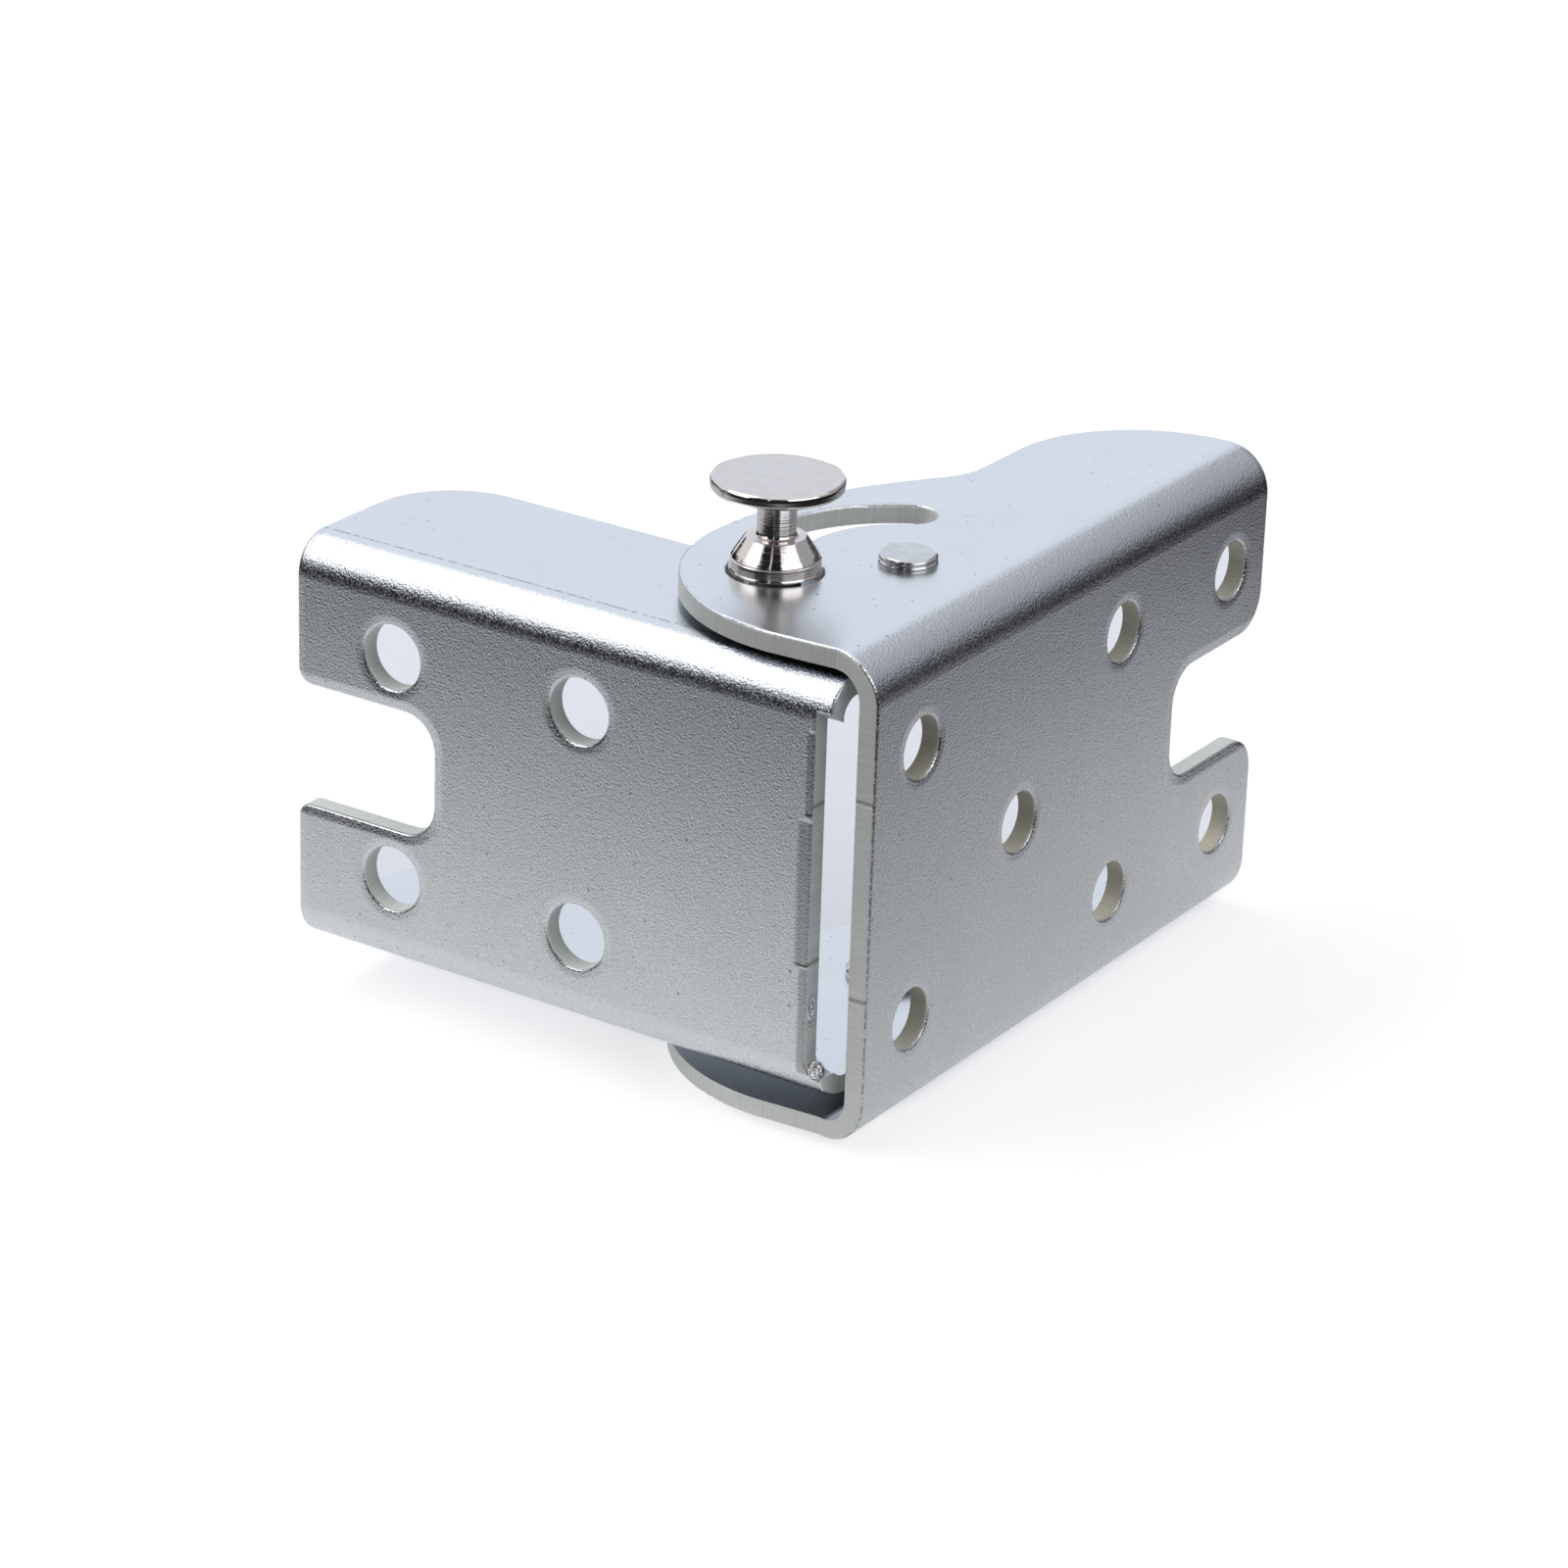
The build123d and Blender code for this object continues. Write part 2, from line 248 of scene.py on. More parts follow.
def make_glowing_card(name, light):
    """Studio card of one plain shade that glows evenly, though it is no lamp: painted light."""
    material = make_cloth(name, 0.0)
    surface = material.node_tree.nodes["Principled BSDF"]
    surface.inputs["Emission Color"].default_value = (*light, 1)
    surface.inputs["Emission Strength"].default_value = 1.0
    return material


cloth_shade = 0.03
black_cloth = make_cloth("black_cloth", cloth_shade)
# The grey, dark and pale cards glow: painted light, seen only in the metal.
grey_card = make_glowing_card("grey_card", (0.47, 0.48, 0.50))
dark_card = make_glowing_card("dark_card", (0.09, 0.09, 0.095))
pale_card = make_glowing_card("pale_card", (0.90, 0.96, 1.05))

# The black cloth on the floor is a net of painted shade, seen only in the metal, that thickens away from
# the bracket.
# Each slope of its cover has a middle, a rise per metre, whether it runs both ways, and a base.
net_slopes = [
    ((0.009, 0.0), (5.8, 0.0), True, -0.03),
    ((0.0, 0.070), (0.0, 7.4), True, -0.225),
    ((-0.109, 0.0), (-18.0, 0.0), False, 0.62),
]
reflected_shade_net = make_cloth("reflected_shade_net", cloth_shade)
net_tree = reflected_shade_net.node_tree
net_place = net_tree.nodes.new("ShaderNodeTexCoord")
net_cover = 0.0
for middle, slope, both_ways, base in net_slopes:
    offset = vector_worked(net_tree, "SUBTRACT", net_place.outputs["Object"], (*middle, 0))
    reach = vector_worked(net_tree, "DOT_PRODUCT", offset, (*slope, 0))
    if both_ways:
        reach = worked(net_tree, "ABSOLUTE", reach)
    raised = worked(net_tree, "ADD", reach, base)
    raised.node.use_clamp = True
    net_cover = worked(net_tree, "MAXIMUM", net_cover, raised)
feed(net_tree, net_tree.nodes["Principled BSDF"].inputs["Alpha"], net_cover)


def hang_cloth(name, material, start, end, first, last):
    """Sweep cloth round the bracket from one (radius, height) to another, seen only in the metal."""
    shape = bmesh.new()
    aim = Vector((math.cos(math.radians(first)), math.sin(math.radians(first)), 0))
    ends = [shape.verts.new(aim * radius + Vector((0, 0, height))) for radius, height in (start, end)]
    line = shape.edges.new(ends)
    bmesh.ops.spin(
        shape, geom=ends + [line], cent=(0, 0, 0), axis=(0, 0, 1),
        angle=math.radians(last - first), steps=72, use_merge=last - first == 360,
    )
    mesh = bpy.data.meshes.new(name)
    shape.to_mesh(mesh)
    shape.free()
    mesh.materials.append(material)
    cloth = bpy.data.objects.new(name, mesh)
    bpy.context.scene.collection.objects.link(cloth)
    cloth.visible_camera = False
    cloth.visible_diffuse = False
    cloth.visible_shadow = False


# Each curtain hangs on one ring, between two heights and two angles in degrees from +X.
ring_radius = 1.0
net_height = cad_low.z + 0.0002
curtains = [
    ("low_curtain", black_cloth, cad_low.z, 0.25, 70, 290),
    ("right_curtain", dark_card, cad_low.z, 0.25, 290, 376),
    ("left_curtain", black_cloth, 0.25, 0.36, 110, 190),
    ("grey_curtain", grey_card, 0.25, 1.0, 290, 376),
    ("pale_curtain", pale_card, 0.10, 0.95, 16, 70),
    ("front_curtain_left", black_cloth, 0.30, 2.4, 160, 195),
    ("front_curtain_right", black_cloth, 0.30, 2.4, 199, 232),
]
# The net of painted shade lies just over the floor, out to the ring.
hang_cloth("reflected_shade_net", reflected_shade_net, (0.0, net_height), (ring_radius, net_height), 0, 360)
for curtain_name, curtain_cloth, low, high, first, last in curtains:
    hang_cloth(curtain_name, curtain_cloth, (ring_radius, low), (ring_radius, high), first, last)


def soft_box(name, place, aim, width, height, power):
    """Hang a rectangular white studio lamp at a place, facing the point it lights."""
    lamp_data = bpy.data.lights.new(name, "AREA")
    lamp_data.shape = "RECTANGLE"
    lamp_data.size = width
    lamp_data.size_y = height
    lamp_data.energy = power
    lamp_data.color = (1.0, 1.0, 1.0)
    lamp = bpy.data.objects.new(name, lamp_data)
    bpy.context.scene.collection.objects.link(lamp)
    lamp.location = place
    lamp.rotation_euler = (Vector(aim) - Vector(place)).to_track_quat("-Z", "Y").to_euler()
    lamp.visible_camera = False


soft_box("overhead_box", (-0.35, 0.55, 0.85), (-0.35, 0.55, 0), width=1.4, height=0.4, power=3.2)
soft_box("left_box", (-0.75, 0.60, 0.68), (0, 0, 0), width=0.9, height=0.4, power=1.2)
soft_box("front_box", (-0.12, -0.78, 0.66), (0, 0, 0), width=0.9, height=0.45, power=1.8)


# Table leaf: the wide channel, pressed and folded from 2 mm steel sheet and then bright zinc plated.
# The plating is satin with a fine grain. The sheared edges are greyer, with streaks across the sheet.
def grouped(name, inputs, outputs):
    """Start a shader node group with named sockets, and give its tree, its entry and its exit."""
    tree = bpy.data.node_groups.new(name, "ShaderNodeTree")
    for socket_name, kind, value in inputs:
        socket = tree.interface.new_socket(socket_name, in_out="INPUT", socket_type=kind)
        socket.default_value = value
    for socket_name, kind in outputs:
        tree.interface.new_socket(socket_name, in_out="OUTPUT", socket_type=kind)
    return tree, tree.nodes.new("NodeGroupInput"), tree.nodes.new("NodeGroupOutput")


def noise(tree, point, size, detail=2.0, roughness=0.5):
    """Add a noise pattern whose lumps are about so many metres across."""
    node = tree.nodes.new("ShaderNodeTexNoise")
    feed(tree, node.inputs["Vector"], point)
    node.inputs["Scale"].default_value = 1 / size
    node.inputs["Detail"].default_value = detail
    node.inputs["Roughness"].default_value = roughness
    return node.outputs["Fac"]


streak_stretch = 0.93


def make_sheet_layers():
    """Whether a point of a folded channel lies on a sheared edge, and its place among the streaks there."""
    tree, entry, leaving = grouped(
        "sheet_layers",
        [
            ("Point", "NodeSocketVector", (0, 0, 0)),
            ("Normal", "NodeSocketVector", (0, 0, 1)),
            ("Bend Depth", "NodeSocketFloat", 0.0),
            ("Bend Height", "NodeSocketFloat", 0.0),
        ],
        [
            ("Sheared Edge", "NodeSocketFloat"),
            ("Streak Point", "NodeSocketVector"),
        ],
    )
    parts = tree.nodes.new("ShaderNodeSeparateXYZ")
    tree.links.new(entry.outputs["Point"], parts.inputs[0])
    into = worked(tree, "SUBTRACT", parts.outputs["Y"], entry.outputs["Bend Depth"])
    into = worked(tree, "MINIMUM", into, 0)
    rise = worked(tree, "ABSOLUTE", parts.outputs["Z"])
    rise = worked(tree, "SUBTRACT", rise, entry.outputs["Bend Height"])
    side = worked(tree, "SIGN", parts.outputs["Z"])
    rise = worked(tree, "MULTIPLY", worked(tree, "MAXIMUM", rise, 0), side)
    across = tree.nodes.new("ShaderNodeCombineXYZ")
    feed(tree, across.inputs["Y"], into)
    feed(tree, across.inputs["Z"], rise)
    outward = vector_worked(tree, "NORMALIZE", across.outputs[0])
    facing = vector_worked(tree, "DOT_PRODUCT", entry.outputs["Normal"], outward)
    sheared = ranged(tree, worked(tree, "ABSOLUTE", facing), 0.75, 0.35)
    feed(tree, leaving.inputs["Sheared Edge"], sheared)
    along_normal = vector_worked(tree, "DOT_PRODUCT", entry.outputs["Point"], outward)
    scaled = tree.nodes.new("ShaderNodeVectorMath")
    scaled.operation = "SCALE"
    feed(tree, scaled.inputs[0], outward)
    feed(tree, scaled.inputs["Scale"], worked(tree, "MULTIPLY", along_normal, streak_stretch))
    streak = vector_worked(tree, "SUBTRACT", entry.outputs["Point"], scaled.outputs[0])
    feed(tree, leaving.inputs["Streak Point"], streak)
    return tree


def make_zinc_grain():
    """The satin grain of bright zinc on rolled steel: fine speckle and soft cloudy patches."""
    tree, entry, leaving = grouped(
        "zinc_grain",
        [("Point", "NodeSocketVector", (0, 0, 0))],
        [("Speckle", "NodeSocketFloat"), ("Cloud", "NodeSocketFloat"), ("Height", "NodeSocketFloat")],
    )
    fine = worked(tree, "MULTIPLY", noise(tree, entry.outputs["Point"], 0.00023, 2.0, 0.6), 0.8)
    coarse = worked(tree, "MULTIPLY", noise(tree, entry.outputs["Point"], 0.0006, 2.0, 0.5), 0.2)
    speckle = worked(tree, "ADD", fine, coarse)
    feed(tree, leaving.inputs["Speckle"], ranged(tree, speckle, 0.36, 0.64))
    cloud = noise(tree, entry.outputs["Point"], 0.009, 3.0, 0.5)
    feed(tree, leaving.inputs["Cloud"], ranged(tree, cloud, 0.3, 0.7))
    feed(tree, leaving.inputs["Height"], speckle)
    return tree


sheet_layers = make_sheet_layers()
zinc_grain = make_zinc_grain()


# How deep the punch and the shear draw the face in, how far that reaches, and the other reliefs.
hole_draw = 0.00009
hole_reach = 0.0011
notch_draw = 0.00019
notch_reach = 0.0013
end_draw = 0.00007
end_reach = 0.0010
band_draw = 0.00008
band_fade = 0.0004
grain_height = 0.00008
streak_height = 0.00004
nick_depth = 0.00032

# Colours of the plated face and its marks, and of the cut edges; the drawn bands, the crease line and the
# nicks are darkened with painted shade.
cloud_dark = (0.675, 0.70, 0.725, 1)
cloud_light = (0.70, 0.72, 0.745, 1)
cool_zinc = (0.66, 0.69, 0.745, 1)
dull_zinc = (0.56, 0.58, 0.605, 1)
pit_colour = (0.20, 0.20, 0.20, 1)
drawn_shade_colour = (0.22, 0.23, 0.24, 1)
torn_colour = (0.16, 0.16, 0.16, 1)
crease_shade_colour = (0.25, 0.26, 0.28, 1)
edge_dark = (0.71, 0.73, 0.715, 1)
edge_light = (0.79, 0.805, 0.79, 1)
nick_shade_colour = (0.30, 0.31, 0.30, 1)


def make_zinc_sheet(
    name, swap, shift, bend_depth, bend_height, near_edge, holes, hole_radius, notch, nicks,
    torn_depth, drawn, crease_shade_depth, bore,
):
    """Bright zinc on one folded leaf, whose own axes come from the object's by a swap and a shift.

    The notch is its start, half height, fillet and far end. A drawn band is its low, high and width.
    """
    material = bpy.data.materials.new(name)
    material.use_nodes = True
    tree = material.node_tree
    surface = tree.nodes["Principled BSDF"]
    place = tree.nodes.new("ShaderNodeTexCoord")
    own_axes = []
    for output in ("Object", "Normal"):
        parts = tree.nodes.new("ShaderNodeSeparateXYZ")
        tree.links.new(place.outputs[output], parts.inputs[0])
        joined = tree.nodes.new("ShaderNodeCombineXYZ")
        for axis, source in enumerate(swap):
            tree.links.new(parts.outputs[source], joined.inputs[axis])
        own_axes.append(joined.outputs[0])
    own_point = vector_worked(tree, "ADD", own_axes[0], shift)
    layers = tree.nodes.new("ShaderNodeGroup")
    layers.node_tree = sheet_layers
    feed(tree, layers.inputs["Point"], own_point)
    feed(tree, layers.inputs["Normal"], own_axes[1])
    layers.inputs["Bend Depth"].default_value = bend_depth
    layers.inputs["Bend Height"].default_value = bend_height
    grain = tree.nodes.new("ShaderNodeGroup")
    grain.node_tree = zinc_grain
    feed(tree, grain.inputs["Point"], place.outputs["Object"])
    own = tree.nodes.new("ShaderNodeSeparateXYZ")
    feed(tree, own.inputs[0], own_point)
    facing = tree.nodes.new("ShaderNodeSeparateXYZ")
    feed(tree, facing.inputs[0], own_axes[1])
    flange = ranged(tree, worked(tree, "ABSOLUTE", facing.outputs["Z"]), 0.93, 0.995)
    grainy = worked(tree, "SUBTRACT", 1.0, worked(tree, "MULTIPLY", flange, 0.8))
    sheared = layers.outputs["Sheared Edge"]
    streaks = noise(tree, layers.outputs["Streak Point"], 0.00028, 3.0, 0.6)

    # The punch draws the face in a little round each hole.
    flat_point = vector_worked(tree, "MULTIPLY", own_point, (1, 0, 1))
    nearest = 1.0
    for along, height in holes:
        to_hole = vector_worked(tree, "DISTANCE", flat_point, (along, 0, height))
        nearest = worked(tree, "MINIMUM", to_hole, nearest)
    relief = ranged(tree, nearest, hole_radius, hole_radius + hole_reach, -hole_draw, 0.0)
    notch_start, notch_half, notch_fillet, far_end = notch
    short = worked(tree, "SUBTRACT", notch_start + notch_fillet, own.outputs["X"])
    beside = worked(tree, "ABSOLUTE", own.outputs["Z"])
    beside = worked(tree, "SUBTRACT", beside, notch_half - notch_fillet)
    corner = tree.nodes.new("ShaderNodeCombineXYZ")
    feed(tree, corner.inputs["X"], worked(tree, "MAXIMUM", short, 0.0))
    feed(tree, corner.inputs["Y"], worked(tree, "MAXIMUM", beside, 0.0))
    to_notch = worked(tree, "SUBTRACT", vector_worked(tree, "LENGTH", corner.outputs[0]), notch_fillet)
    to_end = worked(tree, "SUBTRACT", far_end, own.outputs["X"])
    relief = worked(tree, "ADD", relief, ranged(tree, to_notch, 0.0, notch_reach, -notch_draw, 0.0))
    relief = worked(tree, "ADD", relief, ranged(tree, to_end, 0.0, end_reach, -end_draw, 0.0))
    grain_relief = worked(tree, "MULTIPLY", grain.outputs["Height"], grain_height)
    relief = worked(tree, "ADD", relief, worked(tree, "MULTIPLY", grain_relief, grainy))

    # The shear leaves nicks across the near cut edge, and draws the web's face in beside it.
    from_edge = worked(tree, "SUBTRACT", own.outputs["X"], near_edge)
    marks = 0.0
    for nick in nicks:
        apart = worked(tree, "ABSOLUTE", worked(tree, "SUBTRACT", own.outputs["Z"], nick))
        marks = worked(tree, "MAXIMUM", ranged(tree, apart, 0.00008, 0.00034, 1.0, 0.0), marks)
    marks = worked(tree, "MULTIPLY", marks, ranged(tree, from_edge, 0.0001, 0.0004, 1.0, 0.0))
    shaded = 0.0
    for low, high, width in drawn:
        band = ranged(tree, from_edge, width * 0.62, width, 1.0, 0.0)
        over_low = ranged(tree, own.outputs["Z"], low, low + band_fade)
        under_high = ranged(tree, own.outputs["Z"], high - band_fade, high, 1.0, 0.0)
        band = worked(tree, "MULTIPLY", band, over_low)
        band = worked(tree, "MULTIPLY", band, under_high)
        shaded = worked(tree, "MAXIMUM", band, shaded)
    relief = worked(tree, "SUBTRACT", relief, worked(tree, "MULTIPLY", shaded, band_draw))
    torn = ranged(tree, from_edge, 0.00008, 0.00030, 1.0, 0.0)
    ragged = ranged(tree, noise(tree, own_point, 0.0004, 2.0, 0.6), 0.42, 0.52)
    torn = worked(tree, "MULTIPLY", torn, ragged)
    torn = worked(tree, "MULTIPLY", torn, torn_depth)

    # A thin broken line of painted shade shows where the upper bend begins.
    crease = worked(tree, "ABSOLUTE", worked(tree, "SUBTRACT", own.outputs["Y"], bend_depth))
    crease = ranged(tree, crease, 0.00004, 0.00022, 1.0, 0.0)
    unbroken = ranged(tree, noise(tree, own_point, 0.0007, 2.0, 0.6), 0.38, 0.50)
    upper_bend = ranged(tree, own.outputs["Z"], bend_height, bend_height + 0.001)
    crease = worked(tree, "MULTIPLY", worked(tree, "MULTIPLY", crease, unbroken), upper_bend)

    # A few dark pits are scattered over the plating.
    pits = ranged(tree, noise(tree, place.outputs["Object"], 0.0006, 1.0, 0.5), 0.745, 0.79)

    face = mixed(tree, grain.outputs["Cloud"], cloud_dark, cloud_light)
    # The face turns bluer towards the top, mostly on the webs.
    cool = worked(tree, "MULTIPLY", ranged(tree, own.outputs["Z"], -0.010, 0.018), grainy)
    face = mixed(tree, worked(tree, "MULTIPLY", cool, 0.9), face, cool_zinc)
    dull = worked(tree, "MULTIPLY", worked(tree, "MULTIPLY", grain.outputs["Speckle"], 0.3), grainy)
    face = mixed(tree, dull, face, dull_zinc)
    face = mixed(tree, worked(tree, "MULTIPLY", pits, 0.7), face, pit_colour)
    # The drawn bands are painted darker, as shade on the face that the shear draws in.
    face = mixed(tree, worked(tree, "MULTIPLY", shaded, 0.6), face, drawn_shade_colour)
    face = mixed(tree, torn, face, torn_colour)
    face = mixed(tree, worked(tree, "MULTIPLY", crease, crease_shade_depth), face, crease_shade_colour)
    edge = mixed(tree, ranged(tree, streaks, 0.35, 0.65), edge_dark, edge_light)
    in_bore = ranged(tree, nearest, hole_radius + 0.0001, hole_radius + 0.0003, 1.0, 0.0)
    edge = mixed(tree, in_bore, edge, bore)
    # The nicks are painted darker, as shade in them.
    edge = mixed(tree, worked(tree, "MULTIPLY", marks, 0.6), edge, nick_shade_colour)
    tree.links.new(mixed(tree, sheared, face, edge), surface.inputs["Base Color"])
    web_rough = ranged(tree, grain.outputs["Speckle"], 0.0, 1.0, 0.10, 0.30)
    smooth = worked(tree, "MULTIPLY", worked(tree, "SUBTRACT", 0.25, web_rough), flange)
    face_rough = worked(tree, "ADD", web_rough, smooth)
    edge_rough = ranged(tree, streaks, 0.3, 0.7, 0.72, 0.84)
    rough = tree.nodes.new("ShaderNodeMix")
    feed(tree, rough.inputs[0], sheared)
    feed(tree, rough.inputs[2], face_rough)
    feed(tree, rough.inputs[3], edge_rough)
    tree.links.new(rough.outputs[0], surface.inputs["Roughness"])
    surface.inputs["Metallic"].default_value = 1.0
    streak_relief = worked(tree, "MULTIPLY", streaks, streak_height)
    cut = worked(tree, "SUBTRACT", streak_relief, worked(tree, "MULTIPLY", marks, nick_depth))
    height = tree.nodes.new("ShaderNodeMix")
    feed(tree, height.inputs[0], sheared)
    feed(tree, height.inputs[2], relief)
    feed(tree, height.inputs[3], cut)
    bump = tree.nodes.new("ShaderNodeBump")
    bump.inputs["Strength"].default_value = 1.0
    bump.inputs["Distance"].default_value = 1.0
    feed(tree, bump.inputs["Height"], height.outputs[0])
    tree.links.new(bump.outputs[0], surface.inputs["Normal"])
    return material


def dress(node_name, material):
    """Give a carried-over node one finish."""
    mesh = nodes[node_name].data
    mesh.materials.clear()
    mesh.materials.append(material)


table_holes = [(x, z) for x in (-0.01855, 0.01855, 0.04) for z in (-0.014, 0.014)] + [(0.0, 0.0)]
table_zinc = make_zinc_sheet(
    "table_leaf_zinc", swap=("X", "Y", "Z"), shift=(0, 0, 0), bend_depth=0.0047, bend_height=0.0203,
    near_edge=cad_low.x + 0.0016, holes=table_holes, hole_radius=0.00305,
    notch=(0.0296, 0.006, 0.0036, 0.047), nicks=(0.0108, -0.0094), torn_depth=0.75, drawn=(),
    crease_shade_depth=0.0, bore=(0.62, 0.60, 0.52, 1),
)
dress("table_bracket", table_zinc)


# Leg leaf: the narrow channel that turns inside the table leaf, from the same sheet and plating.
# Its own axes run up the leg, into the channel from its web, and along the pivot.
leg_holes = [(y, z) for y in (0.0324, 0.0547) for z in (-0.01175, 0.01175)]
leg_zinc = make_zinc_sheet(
    "leg_leaf_zinc", swap=("Y", "X", "Z"), shift=(0, 0.0283, -0.0008), bend_depth=0.0040,
    bend_height=0.0175, near_edge=0.00565, holes=leg_holes, hole_radius=0.00335,
    notch=(0.0496, 0.0064, 0.0036, 0.0663), nicks=(0.0089, -0.0072), torn_depth=0.0,
    drawn=((-0.0188, -0.0074, 0.0011), (-0.0076, 0.0076, 0.0017), (0.0078, 0.0166, 0.0009)),
    crease_shade_depth=0.75, bore=(0.78, 0.81, 0.78, 1),
)
dress("leg_bracket", leg_zinc)


# Drips of zinc on the leg leaf's near edge, frozen where the bath drained off, with coarse bright crystals.
crystal_size = 0.00045
crystal_height = 0.0014
drip_zinc = bpy.data.materials.new("drip_zinc")
drip_zinc.use_nodes = True
drip_tree = drip_zinc.node_tree
drip_surface = drip_tree.nodes["Principled BSDF"]
drip_place = drip_tree.nodes.new("ShaderNodeTexCoord")
drip_crystals = noise(drip_tree, drip_place.outputs["Object"], crystal_size, 1.0, 0.5)
drip_colour = mixed(drip_tree, drip_crystals, (0.80, 0.81, 0.82, 1), (0.66, 0.67, 0.68, 1))
drip_tree.links.new(drip_colour, drip_surface.inputs["Base Color"])
drip_surface.inputs["Metallic"].default_value = 1.0
drip_surface.inputs["Roughness"].default_value = 0.16
drip_bump = drip_tree.nodes.new("ShaderNodeBump")
drip_bump.inputs["Strength"].default_value = 1.0
drip_bump.inputs["Distance"].default_value = crystal_height
drip_tree.links.new(drip_crystals, drip_bump.inputs["Height"])
drip_tree.links.new(drip_bump.outputs[0], drip_surface.inputs["Normal"])
for drip_name, middle, size in (
    ("zinc_bead", (-0.02755, 0.0047, -0.0174), (0.00075, 0.00085, 0.00105)),
    ("zinc_run", (-0.0275, 0.0056, -0.0115), (0.00040, 0.00030, 0.00160)),
):
    drip_shape = bmesh.new()
    bmesh.ops.create_icosphere(drip_shape, subdivisions=4, radius=1.0)
    bmesh.ops.scale(drip_shape, verts=drip_shape.verts, vec=size)
    bmesh.ops.translate(drip_shape, verts=drip_shape.verts, vec=middle)
    for face in drip_shape.faces:
        face.smooth = True
    drip_mesh = bpy.data.meshes.new(drip_name)
    drip_shape.to_mesh(drip_mesh)
    drip_shape.free()
    drip_mesh.materials.append(drip_zinc)
    drip = bpy.data.objects.new(drip_name, drip_mesh)
    bpy.context.scene.collection.objects.link(drip)
    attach(drip, "leg_leaf")


# Pivot rivets: two short turned rivets, plated like the leaves, set flat on the outside in two tiers.
# The wide heads lie inside the leg leaf, and each shank goes through one pair of flanges.
def spun(name, profile, centre, steps, edge_round, material, body):
    """Turn a half profile of (radius, height) points about an upright axis, and round its rims."""
    shape = bmesh.new()
    corners = [shape.verts.new((centre[0] + radius, centre[1], height)) for radius, height in profile]
    lines = [shape.edges.new(pair) for pair in zip(corners, corners[1:])]
    bmesh.ops.spin(
        shape, geom=corners + lines, cent=(centre[0], centre[1], 0), axis=(0, 0, 1),
        angle=2 * math.pi, steps=steps, use_merge=True,
    )
    bmesh.ops.remove_doubles(shape, verts=shape.verts, dist=1e-7)
    bmesh.ops.recalc_face_normals(shape, faces=shape.faces)
    rims = [edge for edge in shape.edges if len(edge.link_faces) == 2 and edge.calc_face_angle() > 0.35]
    bmesh.ops.bevel(
        shape, geom=rims, offset=edge_round, offset_type="OFFSET", segments=3, profile=0.5,
        affect="EDGES", material=-1, clamp_overlap=True,
    )
    for face in shape.faces:
        face.smooth = True
    mesh = bpy.data.meshes.new(name)
    shape.to_mesh(mesh)
    shape.free()
    mesh.materials.append(material)
    piece = bpy.data.objects.new(name, mesh)
    bpy.context.scene.collection.objects.link(piece)
    weighted = piece.modifiers.new("even_shading", "WEIGHTED_NORMAL")
    weighted.keep_sharp = True
    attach(piece, body)
    return piece


def make_turned_metal(name, light, dark, rough_low, rough_high, ring_size, ring_height):
    """Turned and plated metal, with the lathe's fine rings running round an upright axis."""
    material = bpy.data.materials.new(name)
    material.use_nodes = True
    tree = material.node_tree
    surface = tree.nodes["Principled BSDF"]
    place = tree.nodes.new("ShaderNodeTexCoord")
    parts = tree.nodes.new("ShaderNodeSeparateXYZ")
    tree.links.new(place.outputs["Object"], parts.inputs[0])
    upright_only = tree.nodes.new("ShaderNodeCombineXYZ")
    tree.links.new(parts.outputs["Z"], upright_only.inputs["Z"])
    rings = noise(tree, upright_only.outputs[0], ring_size, 2.0, 0.6)
    stain = noise(tree, place.outputs["Object"], 0.0012, 3.0, 0.55)
    colour = mixed(tree, ranged(tree, stain, 0.35, 0.7), light, dark)
    tree.links.new(colour, surface.inputs["Base Color"])
    wear = worked(tree, "MULTIPLY", worked(tree, "ADD", rings, stain), 0.5)
    rough = ranged(tree, wear, 0.35, 0.65, rough_low, rough_high)
    tree.links.new(rough, surface.inputs["Roughness"])
    surface.inputs["Metallic"].default_value = 1.0
    bump = tree.nodes.new("ShaderNodeBump")
    bump.inputs["Strength"].default_value = 0.6
    bump.inputs["Distance"].default_value = ring_height
    tree.links.new(rings, bump.inputs["Height"])
    tree.links.new(bump.outputs[0], surface.inputs["Normal"])
    return material


rivet_zinc = make_turned_metal(
    "rivet_zinc", light=(0.60, 0.605, 0.62, 1), dark=(0.54, 0.545, 0.56, 1),
    rough_low=0.12, rough_high=0.20, ring_size=0.0003, ring_height=0.00001,
)
table_face = 0.025
head_height = 0.0009
for rivet_name, side, seat in (("upper_rivet", 1, 0.02025), ("lower_rivet", -1, 0.01865)):
    head_top = seat - head_height
    rivet_profile = [
        (0.0, head_top),
        (0.0042, head_top),
        (0.0045, head_top + 0.0003),
        (0.0045, seat),
        (0.0024, seat),
        (0.0024, table_face),
        (0.00288, table_face),
        (0.00293, table_face + 0.00008),
        (0.00290, table_face + 0.00020),
        (0.00276, table_face + 0.00038),
        (0.00267, table_face + 0.00041),
        (0.00267, table_face + 0.00045),
        (0.00287, table_face + 0.00050),
        (0.00291, table_face + 0.00058),
        (0.00286, table_face + 0.00072),
        (0.00272, table_face + 0.00088),
        (0.00256, table_face + 0.00095),
        (0.0, table_face + 0.00095),
    ]
    rivet = spun(
        rivet_name + "_turned", [(radius, side * height) for radius, height in rivet_profile],
        (pivot.x, pivot.y), 72, 0.00005, rivet_zinc, "table_leaf",
    )
    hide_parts(rivet_name)


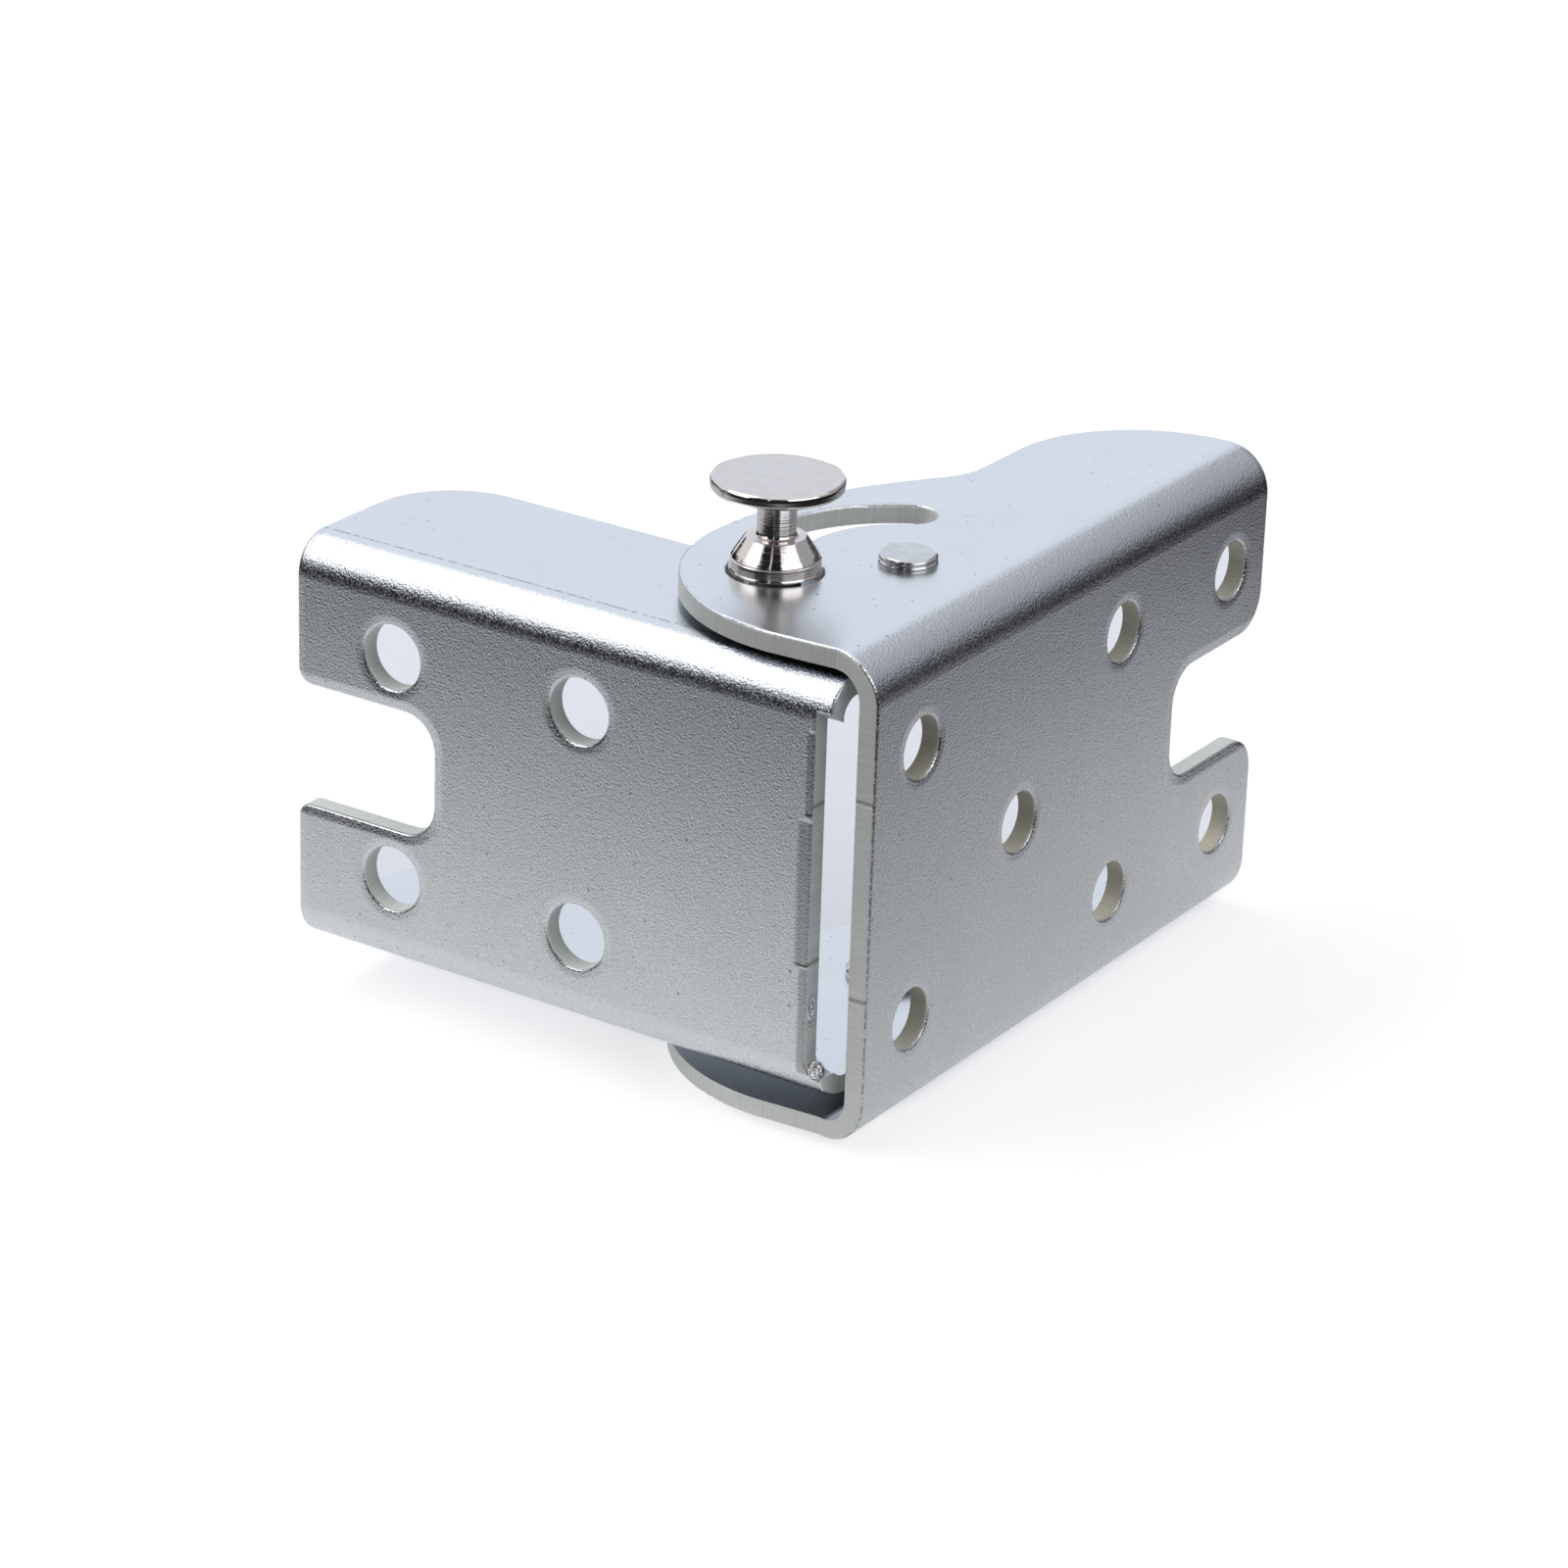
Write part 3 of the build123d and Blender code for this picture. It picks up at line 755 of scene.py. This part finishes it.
# Washer and spacer on the two rivets: plated rings that fill the gaps between the pairs of flanges.
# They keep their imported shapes.
washer_zinc = make_turned_metal(
    "washer_zinc", light=(0.70, 0.71, 0.72, 1), dark=(0.58, 0.59, 0.60, 1),
    rough_low=0.28, rough_high=0.42, ring_size=0.0002, ring_height=0.00003,
)
dress("upper_washer", washer_zinc)
dress("lower_spacer", washer_zinc)


# Lock pin: turned from bar and nickel plated, with a thin finger disc, a narrow neck, a cone and a band.
# The shaft runs down through the slot and the leg flange to the spring's washer.
pin_low, pin_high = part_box("lock_pin")
pin_centre = ((pin_low.x + pin_high.x) / 2, (pin_low.y + pin_high.y) / 2)
nickel = make_turned_metal(
    "polished_nickel", light=(0.66, 0.62, 0.61, 1), dark=(0.63, 0.59, 0.575, 1),
    rough_low=0.06, rough_high=0.14, ring_size=0.00022, ring_height=0.00004,
)
pin_shaft = [
    (0.0, 0.0095),
    (0.00135, 0.0095),
    (0.0027, 0.01003),
    (0.0027, 0.0103),
    (0.0020, 0.0103),
    (0.0020, 0.0113),
    (0.0025, 0.0113),
    (0.0025, 0.02512),
]
pin_band = [
    (0.00442, 0.02512),
    (0.00450, 0.02520),
    (0.00449, 0.02530),
    (0.00441, 0.02542),
    (0.00439, 0.02634),
    (0.00425, 0.02642),
    (0.00425, 0.02648),
]
pin_cone = [
    (0.00430, 0.02656),
    (0.00384, 0.02724),
    (0.00382, 0.02725),
    (0.00342, 0.02786),
    (0.00340, 0.02787),
    (0.00300, 0.02846),
    (0.00288, 0.02858),
    (0.00222, 0.02862),
    (0.00200, 0.02872),
    (0.00190, 0.02894),
    (0.0019, 0.03307),
]
pin_disc = [
    (0.00570, 0.03307),
    (0.00622, 0.03324),
    (0.00643, 0.03350),
    (0.00645, 0.03366),
    (0.00645, 0.03424),
    (0.00638, 0.03437),
    (0.00616, 0.03447),
    (0.0, 0.03447),
]
pin_profile = pin_shaft + pin_band + pin_cone + pin_disc
lock_pin = spun("lock_pin_turned", pin_profile, pin_centre, 128, 0.00008, nickel, "pin")
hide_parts("lock_pin")


# Spring and its washer, inside the leg channel: hard drawn wire, wound in six turns.
# The washer is peened on the pin's lower end and squeezes the spring when the pin is pulled up.
spring_wire = make_turned_metal(
    "spring_wire", light=(0.42, 0.42, 0.42, 1), dark=(0.30, 0.30, 0.31, 1),
    rough_low=0.25, rough_high=0.40, ring_size=0.0002, ring_height=0.00002,
)
spring_shape = bmesh.new()
spring_shape.from_mesh(nodes["pin_spring"].data)
bmesh.ops.remove_doubles(spring_shape, verts=spring_shape.verts, dist=1e-7)
spring_mesh = bpy.data.meshes.new("wound_spring")
spring_shape.to_mesh(spring_mesh)
spring_shape.free()
spring_mesh.shade_smooth()
spring_mesh.set_sharp_from_angle(angle=0.8)
spring_mesh.materials.append(spring_wire)
spring = bpy.data.objects.new("wound_spring", spring_mesh)
bpy.context.scene.collection.objects.link(spring)
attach(spring, "leg_leaf")
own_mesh(spring)
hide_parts("pin_spring")
dress("pin_washer", washer_zinc)
